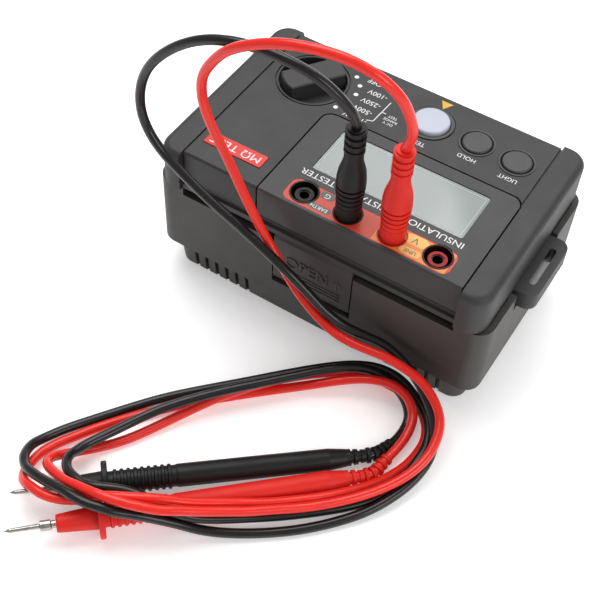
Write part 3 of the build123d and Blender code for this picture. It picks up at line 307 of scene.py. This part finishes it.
# ---------------------------------------------------------------- flex ribs on the reliefs
# Past each handle the relief goes on as five soft rings moulded round the cord.
# They get smaller towards the end and follow the cord as it bends.
def centreline(lead):
    """Points along a lead's own smooth curve, a fraction of a millimetre apart, from the probe back."""
    bare = lead.copy()
    bare.data = lead.data.copy()
    bare.data.bevel_depth = 0.0
    bare.data.use_fill_caps = False
    bpy.context.scene.collection.objects.link(bare)
    bpy.context.view_layer.update()
    mesh = bpy.data.meshes.new_from_object(bare.evaluated_get(bpy.context.evaluated_depsgraph_get()))
    points = [vertex.co.copy() for vertex in mesh.vertices]
    bpy.data.meshes.remove(mesh)
    bpy.data.objects.remove(bare)
    points.reverse()
    return points


def place_along(points, distance):
    """The place and direction at a distance from the first point."""
    for before, after in zip(points, points[1:]):
        run = (after - before).length
        if run > 0 and distance <= run:
            return before.lerp(after, distance / run), (after - before).normalized()
        distance -= run
    return points[-1], (points[-1] - points[-2]).normalized()


def settle(piece, name, finish, body):
    """Puts a finished piece's place into its mesh, names it and gives it its finish and body."""
    bpy.ops.object.select_all(action="DESELECT")
    piece.select_set(True)
    bpy.context.view_layer.objects.active = piece
    bpy.ops.object.transform_apply(location=True, rotation=True, scale=True)
    piece.name = name
    piece.data.name = name
    piece.data.materials.clear()
    piece.data.materials.append(finish)
    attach(piece, body)
    return piece


def join(pieces):
    """Several new meshes made one."""
    bpy.ops.object.select_all(action="DESELECT")
    for piece in pieces:
        piece.select_set(True)
    bpy.context.view_layer.objects.active = pieces[0]
    bpy.ops.object.join()
    return bpy.context.object


RING_COUNT = 5
FIRST_RING = 0.0012
RING_PITCH = 0.0027
RING_RADIUS = 0.0031
RING_TAPER = 0.00016
RING_WIDTH = 0.0015
for colour, finish in (("black", black_grip), ("red", red_grip)):
    points = centreline(bpy.data.objects[f"{colour}_lead"])
    rings = []
    for n in range(RING_COUNT):
        spot, along = place_along(points, FIRST_RING + RING_PITCH * n)
        size = RING_RADIUS - RING_TAPER * n
        bpy.ops.mesh.primitive_cylinder_add(vertices=32, radius=size, depth=RING_WIDTH, location=spot,
                                            rotation=along.to_track_quat("Z", "Y").to_euler())
        ring = bpy.context.object
        bpy.ops.object.mode_set(mode="EDIT")
        bpy.ops.mesh.select_all(action="SELECT")
        bpy.ops.mesh.bevel(offset=0.0004, segments=3, affect="EDGES", clamp_overlap=True)
        bpy.ops.object.mode_set(mode="OBJECT")
        bpy.ops.object.shade_smooth_by_angle(angle=math.radians(40))
        rings.append(ring)
    settle(join(rings), f"{colour}_flex_ribs", finish, "tester")


# ---------------------------------------------------------------- case mouldings
# Lid, tester case and latch tongues are injection-moulded ABS in dark grey.
# The tool is spark-eroded, which leaves a fine even grain, and handling polishes it in patches.
def moulded_abs(name, dark, light, pit, dull=0.62):
    """Spark-grained ABS: small pits all over, broad faint marks from the moulding."""
    finish, shader, place = start_finish(name)
    flow = place.cloud(0.055, 2.0)
    wear = place.cloud(0.012, 6.0)
    grain = place.cloud(pit, 3.0)
    specks = grain.over(0.66)
    colour = (flow * 0.45 + wear * 0.35 + grain * 0.2).tint(dark, light)
    shader.inputs["IOR"].default_value = 1.52
    shader.inputs["Specular IOR Level"].default_value = 0.36
    feed(shader, colour, dull - wear * 0.18 + specks * 0.05, grain, 0.00010, 0.55)
    return finish


case_grey = moulded_abs("case_grey", (0.024, 0.023, 0.024, 1), (0.042, 0.040, 0.041, 1), 0.00055)
lid_grey = moulded_abs("lid_grey", (0.036, 0.033, 0.031, 1), (0.052, 0.048, 0.045, 1), 0.00055, 0.6)
insert_grey = moulded_abs("insert_grey", (0.031, 0.030, 0.031, 1), (0.043, 0.042, 0.043, 1), 0.00038, 0.55)
inside_black = moulded_abs("inside_black", (0.014, 0.014, 0.014, 1), (0.026, 0.026, 0.026, 1), 0.0005)
dress(case_grey, "lower_case", "upper_case", "battery_door")
dress(lid_grey, "lid_shell", "front_latch", "rear_latch")
dress(insert_grey, "face_insert")


# ---------------------------------------------------------------- raised words on the latches
# OPEN, an arrow and three grip bars below them stand a few tenths of a millimetre proud of each
# tongue. They are part of the ABS moulding and share its colour.
def lettering(words, size, thick, place, turn, wide=None):
    """Words as a solid mesh, centred on their place, drawn out to a width where one is given."""
    bpy.ops.object.text_add()
    words_object = bpy.context.object
    words_object.data.body = words
    words_object.data.size = size
    words_object.data.align_x = "CENTER"
    words_object.data.align_y = "CENTER"
    words_object.data.extrude = thick / 2
    words_object.data.resolution_u = 4
    bpy.ops.object.convert(target="MESH")
    if wide:
        words_object.scale.x = wide / words_object.dimensions.x
    words_object.rotation_euler = turn
    words_object.location = place
    return words_object


def bar(sizes, place, turn, edge):
    """A small slab with its edges rounded over."""
    bpy.ops.mesh.primitive_cube_add(size=1.0)
    slab = bpy.context.object
    slab.scale = sizes
    bpy.ops.object.transform_apply(location=False, rotation=False, scale=True)
    bpy.ops.object.mode_set(mode="EDIT")
    bpy.ops.mesh.select_all(action="SELECT")
    bpy.ops.mesh.bevel(offset=edge, segments=2, affect="EDGES", clamp_overlap=True)
    bpy.ops.object.mode_set(mode="OBJECT")
    slab.location = place
    slab.rotation_euler = turn
    return slab


LEVEL = (0, 0, 0)
TONGUE_FACE = 0.04405
for side, body in ((-1, "front_latch"), (1, "rear_latch")):
    facing = 0.0 if side < 0 else math.pi
    front = side * TONGUE_FACE
    arrow = -side * 0.0112
    raised = [lettering("OPEN", 0.0082, 0.0007, (side * 0.0022, front, 0.0392),
                        (math.pi / 2, 0, facing), 0.0190)]
    raised.append(bar((0.0011, 0.0005, 0.0046), (arrow, front, 0.0384), LEVEL, 0.00015))
    for lean in (-1, 1):
        raised.append(bar((0.0010, 0.0005, 0.0030), (arrow + lean * 0.0009, front, 0.0402),
                          (0, -lean * math.radians(42), 0), 0.00015))
    for n in range(3):
        raised.append(bar((0.026, 0.0006, 0.0011), (0.0, front, 0.0302 + 0.0018 * n), LEVEL, 0.00028))
    settle(join(raised), f"{body}_raised_words", lid_grey, body)


# ---------------------------------------------------------------- terminals
# Four 4 mm safety sockets, 19 mm apart: a moulded cup round a post with a brass sleeve, its colour darkened
# to near-black as painted shade for the inside of the socket hole.
# Earth and guard are black, the volt socket is red all over, and line is a red post in a black cup.
# Painted shade: the brass sleeve's colour is made near-black to stand for the shade down inside each socket
# hole.
sleeve_brass_painted_shade = plated("sleeve_brass_painted_shade", (0.022, 0.018, 0.014, 1), (0.045, 0.038, 0.030, 1), 0.0003)
socket_black = moulded_pvc("socket_black", (0.004, 0.004, 0.004, 1), (0.009, 0.009, 0.009, 1), 0.05)
socket_red = moulded_pvc("socket_red", (0.34, 0.008, 0.008, 1), (0.50, 0.016, 0.014, 1), 0.1)
dress(sleeve_brass_painted_shade, "terminal_sleeves")
dress(socket_black, "earth_socket", "guard_socket")
dress(socket_red, "volt_socket")
LINE_X, LINE_Y = 0.0465, -0.03475
POST_RADIUS = 0.0045
finish, shader, place = start_finish("line_socket_shades")
middle = place.add_node("ShaderNodeMapping", {}, {"Vector": place, "Location": (-LINE_X, -LINE_Y, 0.0)})
flat = middle.add_node("ShaderNodeVectorMath", {"operation": "MULTIPLY"},
                       {0: middle, 1: (1.0, 1.0, 0.0)})
reach = flat.add_node("ShaderNodeVectorMath", {"operation": "LENGTH"}, {0: flat}, out=1)
cup = reach.over(POST_RADIUS)
dust = place.cloud(0.0012)
shader.inputs["Specular IOR Level"].default_value = 0.2
feed(shader, (cup * 0.94 + dust * 0.05).tint((0.34, 0.004, 0.007, 1), (0.008, 0.005, 0.005, 1)),
     dust * 0.2 + 0.25, dust, 0.00004)
dress(finish, "line_socket")

# ---------------------------------------------------------------- terminal label
# A printed polyester film let into the panel round the sockets: red-orange, with a lighter orange
# field round the two measuring sockets, under a thin clear coat.
finish, shader, place = start_finish("label_film")
along = place.add_node("ShaderNodeSeparateXYZ", {}, {"Vector": place}, out="X")
across = place.add_node("ShaderNodeSeparateXYZ", {}, {"Vector": place}, out="Y")
WARM_LEFT, WARM_RIGHT, WARM_NEAR, WARM_FAR = 0.0215, 0.0520, -0.0408, -0.0302
warm_area = (along.over(WARM_LEFT) * (WARM_RIGHT - along).over(0.0)
             * (across - WARM_NEAR).over(0.0) * (WARM_FAR - across).over(0.0))
ink = place.cloud(0.0007, 4.0)
base = (ink * 0.5).tint((0.50, 0.048, 0.022, 1), (0.60, 0.068, 0.032, 1))
warm = (ink * 0.5).tint((0.70, 0.20, 0.040, 1), (0.80, 0.28, 0.07, 1))
shader.inputs["Coat Weight"].default_value = 0.12
shader.inputs["Coat Roughness"].default_value = 0.15
shader.inputs["Specular IOR Level"].default_value = 0.25
feed(shader, warm_area.tint(base, warm), ink * 0.15 + 0.3, ink, 0.00003, 0.4)
dress(finish, "terminal_label")


# ---------------------------------------------------------------- printing on the panel
# White pad-printed ink a few hundredths of a millimetre thick, slightly open where the grain shows.
# It rides with the tester and reads from the side of the terminals.
def pad_ink(name, dark, light):
    """Printed ink with pinholes."""
    finish, shader, place = start_finish(name)
    pinholes = place.cloud(0.00018, 4.0)
    feed(shader, pinholes.tint(dark, light), pinholes * 0.2 + 0.45, pinholes, 0.00002, 0.5)
    return finish


white_ink = pad_ink("white_ink", (0.58, 0.58, 0.58, 1), (0.86, 0.86, 0.86, 1))
INK = 0.00006
PANEL = 0.07100
DECK = 0.07103
UPRIGHT = (0, 0, math.pi)
printing = [lettering("INSULATION RESISTANCE TESTER", 0.0041, INK, (0.0172, -0.0251, DECK),
                      UPRIGHT, 0.0695)]
for words, size, x, y in (("TEST", 0.0029, 0.0120, 0.0128),
                          ("HOLD", 0.0029, 0.0318, 0.0162),
                          ("LIGHT", 0.0029, 0.0500, 0.0152),
                          ("OFF", 0.0036, -0.0192, 0.0338),
                          ("-100V", 0.0036, -0.0147, 0.0280),
                          ("-250V", 0.0036, -0.0146, 0.0222),
                          ("-500V", 0.0036, -0.0153, 0.0166),
                          ("-1000V", 0.0036, -0.0156, 0.0112),
                          ("TEST", 0.0019, -0.0030, 0.0196),
                          ("RANGE", 0.0019, -0.0030, 0.0175),
                          ("DC V", 0.0019, -0.0030, 0.0154)):
    printing.append(lettering(words, size, INK, (x, y, DECK), UPRIGHT))
for length, width, x, y, turn in ((0.0004, 0.0134, -0.0083, 0.0202, math.radians(-3)),
                                  (0.0027, 0.0004, -0.0099, 0.0130, math.radians(20)),
                                  (0.0020, 0.0004, -0.0073, 0.0200, 0)):
    printing.append(bar((length, width, INK), (x, y, DECK), (0, 0, turn), INK / 3))
for x, y in ((-0.0273, 0.0325), (-0.0235, 0.0285), (-0.0222, 0.0231), (-0.0226, 0.0174),
             (-0.0252, 0.0120)):
    bpy.ops.mesh.primitive_circle_add(vertices=24, radius=0.00095, fill_type="NGON", location=(x, y, PANEL))
    bpy.ops.object.mode_set(mode="EDIT")
    bpy.ops.mesh.select_all(action="SELECT")
    bpy.ops.mesh.extrude_region_move(TRANSFORM_OT_translate={"value": (0, 0, INK)})
    bpy.ops.mesh.select_all(action="SELECT")
    bpy.ops.mesh.normals_make_consistent(inside=False)
    bpy.ops.object.mode_set(mode="OBJECT")
    printing.append(bpy.context.object)
settle(join(printing), "panel_printing", white_ink, "tester")


# ---------------------------------------------------------------- small fields on the label
# Four fields with round ends are printed in ink on the film beside the sockets, with their words on
# top. EARTH and G stand on grey, V and LINE on amber.
grey_ink = pad_ink("grey_ink", (0.085, 0.080, 0.080, 1), (0.12, 0.115, 0.115, 1))
amber_ink = pad_ink("amber_ink", (0.78, 0.42, 0.10, 1), (0.86, 0.52, 0.16, 1))
FIELD_INK = 0.00005
ON_FIELD = 0.07108


def field(length, width, place):
    """A flat field with round ends."""
    bpy.ops.mesh.primitive_circle_add(vertices=32, radius=width / 2, fill_type="NGON")
    shape = bpy.context.object
    for vertex in shape.data.vertices:
        vertex.co.x += math.copysign((length - width) / 2, vertex.co.x + 1e-7)
    bpy.ops.object.mode_set(mode="EDIT")
    bpy.ops.mesh.select_all(action="SELECT")
    bpy.ops.mesh.extrude_region_move(TRANSFORM_OT_translate={"value": (0, 0, FIELD_INK)})
    bpy.ops.mesh.select_all(action="SELECT")
    bpy.ops.mesh.normals_make_consistent(inside=False)
    bpy.ops.object.mode_set(mode="OBJECT")
    shape.location = place
    return shape


settle(join([field(0.0098, 0.0030, (-0.0018, -0.0386, PANEL)),
             field(0.0060, 0.0038, (-0.0020, -0.0318, PANEL))]),
       "grey_fields", grey_ink, "tester")
settle(join([field(0.0086, 0.0034, (0.0368, -0.0384, PANEL)),
             field(0.0094, 0.0050, (0.0366, -0.0325, PANEL))]),
       "amber_fields", amber_ink, "tester")
settle(join([lettering("EARTH", 0.0024, FIELD_INK, (-0.0018, -0.0386, ON_FIELD), UPRIGHT),
             lettering("G", 0.0034, FIELD_INK, (-0.0020, -0.0318, ON_FIELD), UPRIGHT)]),
       "earth_words", white_ink, "tester")
settle(join([lettering("LINE", 0.0025, FIELD_INK, (0.0368, -0.0384, ON_FIELD), UPRIGHT),
             lettering("V", 0.0044, FIELD_INK, (0.0362, -0.0325, ON_FIELD), UPRIGHT)]),
       "line_words", grey_ink, "tester")

# ---------------------------------------------------------------- display
# A tinted, nearly opaque acrylic window over a grey-green reflective cell in a black moulded frame.
# The cell is off and blank, and a hairline is printed round it on the window.
finish, shader, place = start_finish("window_acrylic")
film = place.cloud(0.01)
shader.inputs["Alpha"].default_value = 0.88
shader.inputs["IOR"].default_value = 1.49
feed(shader, film.tint((0.245, 0.278, 0.270, 1), (0.270, 0.300, 0.290, 1)), film * 0.05 + 0.06,
     film, 0.00001, 0.1)
dress(finish, "display_window")
hairline = pad_ink("hairline_ink", (0.42, 0.45, 0.44, 1), (0.52, 0.55, 0.54, 1))
GLASS = 0.07063
WINDOW_X, WINDOW_Y = 0.0172, -0.0098
HALF_LONG, HALF_WIDE = 0.0311, 0.0108
HAIR = 0.00022
settle(join([bar((0.0622, HAIR, INK), (WINDOW_X, WINDOW_Y - HALF_WIDE, GLASS), LEVEL, INK / 3),
             bar((0.0622, HAIR, INK), (WINDOW_X, WINDOW_Y + HALF_WIDE, GLASS), LEVEL, INK / 3),
             bar((HAIR, 0.0216, INK), (WINDOW_X - HALF_LONG, WINDOW_Y, GLASS), LEVEL, INK / 3),
             bar((HAIR, 0.0216, INK), (WINDOW_X + HALF_LONG, WINDOW_Y, GLASS), LEVEL, INK / 3)]),
       "window_hairline", hairline, "tester")
finish, shader, place = start_finish("cell_grey_green")
cloudy = place.cloud(0.03, 2.0)
dots = place.cloud(0.0003, 2.0)
feed(shader, (cloudy * 0.7 + dots * 0.3).tint((0.68, 0.74, 0.71, 1), (0.76, 0.81, 0.78, 1)),
     dots * 0.1 + 0.28, dots, 0.00001, 0.3)
dress(finish, "lcd_glass")
dress(inside_black, "lcd_frame", "zebra_strips")
light_guide = pad_ink("light_guide", (0.70, 0.70, 0.66, 1), (0.80, 0.80, 0.76, 1))
dress(light_guide, "lcd_backlight")

# ---------------------------------------------------------------- badge and mark
# A red lacquered plate stands in a shallow seat by the terminals, printed in white with the unit
# of resistance and the word TEST. A small plain yellow triangle is stuck on the panel.
red_lacquer = soft_pvc("red_lacquer", (0.56, 0.022, 0.018, 1), (0.68, 0.038, 0.028, 1), 0.15)
dress(red_lacquer, "badge_plate")
ON_PLATE = 0.07143
settle(lettering("MΩ TEST", 0.0052, INK, (-0.0444, -0.0307, ON_PLATE), UPRIGHT, 0.0225),
       "badge_words", white_ink, "tester")
dress(pad_ink("yellow_ink", (0.55, 0.33, 0.02, 1), (0.68, 0.42, 0.04, 1)), "triangle_mark")

# ---------------------------------------------------------------- range knob
# A moulded ABS disc with a grip bar across it, satin black-grey, with an index of the case's grey
# let into its top. It sits sunk in the panel, on a turned acetal shaft.
knob_grey = moulded_abs("knob_grey", (0.022, 0.022, 0.022, 1), (0.034, 0.033, 0.034, 1), 0.0003, 0.5)
dress(knob_grey, "rotary_knob")
dress(case_grey, "pointer_line")
finish, shader, place = start_finish("shaft_acetal")
turned_marks = place.cloud(0.0006)
feed(shader, turned_marks.tint((0.60, 0.59, 0.56, 1), (0.72, 0.71, 0.68, 1)), turned_marks * 0.2 + 0.35,
     turned_marks, 0.00003)
dress(finish, "knob_shaft", "switch_rotor", "switch_housing", "tact_switches")

# ---------------------------------------------------------------- keys
# TEST is a milky blue-white cap, HOLD and LIGHT are grey like the case, all slightly domed.
# Each slides in a hole and presses a switch on the board. A grey moulded collar stands round each.
key_grey = moulded_abs("key_grey", (0.040, 0.039, 0.040, 1), (0.054, 0.053, 0.054, 1), 0.0004, 0.5)
dress(key_grey, "hold_button", "light_button")
finish, shader, place = start_finish("key_milk")
milk = place.cloud(0.006)
fine = place.cloud(0.0004)
shader.inputs["Coat Weight"].default_value = 0.3
shader.inputs["Coat Roughness"].default_value = 0.3
feed(shader, (milk * 0.7 + fine * 0.3).tint((0.38, 0.41, 0.50, 1), (0.46, 0.49, 0.58, 1)),
     fine * 0.15 + 0.4, fine, 0.00003)
dress(finish, "test_button")
COLLAR_FOOT = 0.07090
for name, x, y, inner, outer in (("test", 0.0112, 0.0256, 0.0080, 0.0095),
                                 ("hold", 0.0316, 0.0258, 0.0066, 0.0074),
                                 ("light", 0.0494, 0.0250, 0.0066, 0.0074)):
    bpy.ops.mesh.primitive_circle_add(vertices=72, radius=outer, fill_type="NGON",
                                      location=(x, y, COLLAR_FOOT))
    collar = bpy.context.object
    bpy.ops.object.mode_set(mode="EDIT")
    bpy.ops.mesh.select_all(action="SELECT")
    bpy.ops.mesh.inset(thickness=outer - inner, depth=0.0)
    bpy.ops.mesh.delete(type="FACE")
    bpy.ops.object.mode_set(mode="OBJECT")
    wall = collar.modifiers.new("wall", "SOLIDIFY")
    wall.thickness = 0.0005
    wall.offset = 1.0
    bpy.ops.object.modifier_apply(modifier="wall")
    soft = collar.modifiers.new("soft", "BEVEL")
    soft.width = 0.00016
    soft.segments = 2
    soft.angle_limit = math.radians(40)
    bpy.ops.object.modifier_apply(modifier="soft")
    bpy.ops.object.shade_smooth_by_angle(angle=math.radians(35))
    settle(collar, f"{name}_collar", key_grey, "tester")

# ---------------------------------------------------------------- works inside
# A lacquered green board with its parts soldered on, six AA cells behind a screwed door, steel screws.
# Nearly all of it is seen only with the case open, but each piece has its own material.
finish, shader, place = start_finish("board_lacquer")
weave = place.add_node("ShaderNodeTexVoronoi", {}, {"Vector": place, "Scale": 900.0})
copper = place.cloud(0.0022, 1.0).over(0.56)
feed(shader, copper.tint((0.012, 0.105, 0.040, 1), (0.030, 0.19, 0.075, 1)), weave * 0.2 + 0.3,
     copper, 0.00004)
dress(finish, "main_board")
steel = plated("steel", (0.40, 0.40, 0.41, 1), (0.60, 0.60, 0.61, 1), 0.0004)
dress(steel, "latch_pins", "case_screws", "board_screws", "door_screw", "battery_contacts",
      "wiper_contacts")
dress(inside_black, "board_chips", "buzzer", "relay", "case_seal")
dress(pad_ink("winding_tape", (0.55, 0.34, 0.05, 1), (0.70, 0.46, 0.09, 1)), "hv_transformer")
dress(soft_pvc("blue_sleeve", (0.014, 0.035, 0.14, 1), (0.025, 0.055, 0.20, 1), 0.4), "hv_capacitors")
finish, shader, place = start_finish("cell_jacket")
scuffs = place.cloud(0.003)
side_y = place.add_node("ShaderNodeSeparateXYZ", {}, {"Vector": place}, out="Y")
BAND_START = 0.0165
band = side_y.sum("ABSOLUTE", 0.0).over(BAND_START)
feed(shader, (band * 0.85 + scuffs * 0.1).tint((0.02, 0.02, 0.022, 1), (0.62, 0.38, 0.12, 1)),
     scuffs * 0.2 + 0.25, scuffs, 0.00003)
dress(finish, "aa_cells")

# ---------------------------------------------------------------- table and light
# A matt white table, slightly lit from within. One broad soft light hangs above on the left,
# smaller ones stand on the right and behind, in an even pale surround.
bpy.ops.mesh.primitive_plane_add(size=6.0)
table_top = bpy.context.object
table_top.name = "table"
finish, shader, place = start_finish("table_white")
paper = place.cloud(0.004)
shader.inputs["Emission Color"].default_value = (1.0, 1.0, 1.0, 1.0)
shader.inputs["Emission Strength"].default_value = 0.3
feed(shader, paper.tint((0.93, 0.93, 0.93, 1), (0.95, 0.95, 0.95, 1)), paper * 0.1 + 0.7,
     paper, 0.00002, 0.2)
table_top.data.materials.append(finish)
AIM = Vector((0.0, -0.03, 0.03))
for name, spot, power, size in (("key_light", (-0.35, 0.30, 1.10), 11.5, 0.9),
                                ("fill_light", (1.00, -0.25, 0.60), 4.6, 0.6),
                                ("back_light", (0.1, 0.9, 0.8), 3.0, 0.7)):
    bpy.ops.object.light_add(type="AREA", location=spot)
    lamp = bpy.context.object
    lamp.name = name
    lamp.data.energy = power
    lamp.data.size = size
    lamp.rotation_euler = (AIM - Vector(spot)).to_track_quat("-Z", "Y").to_euler()
surround = bpy.data.worlds.new("surround")
surround.use_nodes = True
surround.node_tree.nodes["Background"].inputs["Color"].default_value = (1.0, 1.0, 1.0, 1.0)
surround.node_tree.nodes["Background"].inputs["Strength"].default_value = 0.42
bpy.context.scene.world = surround
bpy.context.scene.view_settings.view_transform = "Standard"
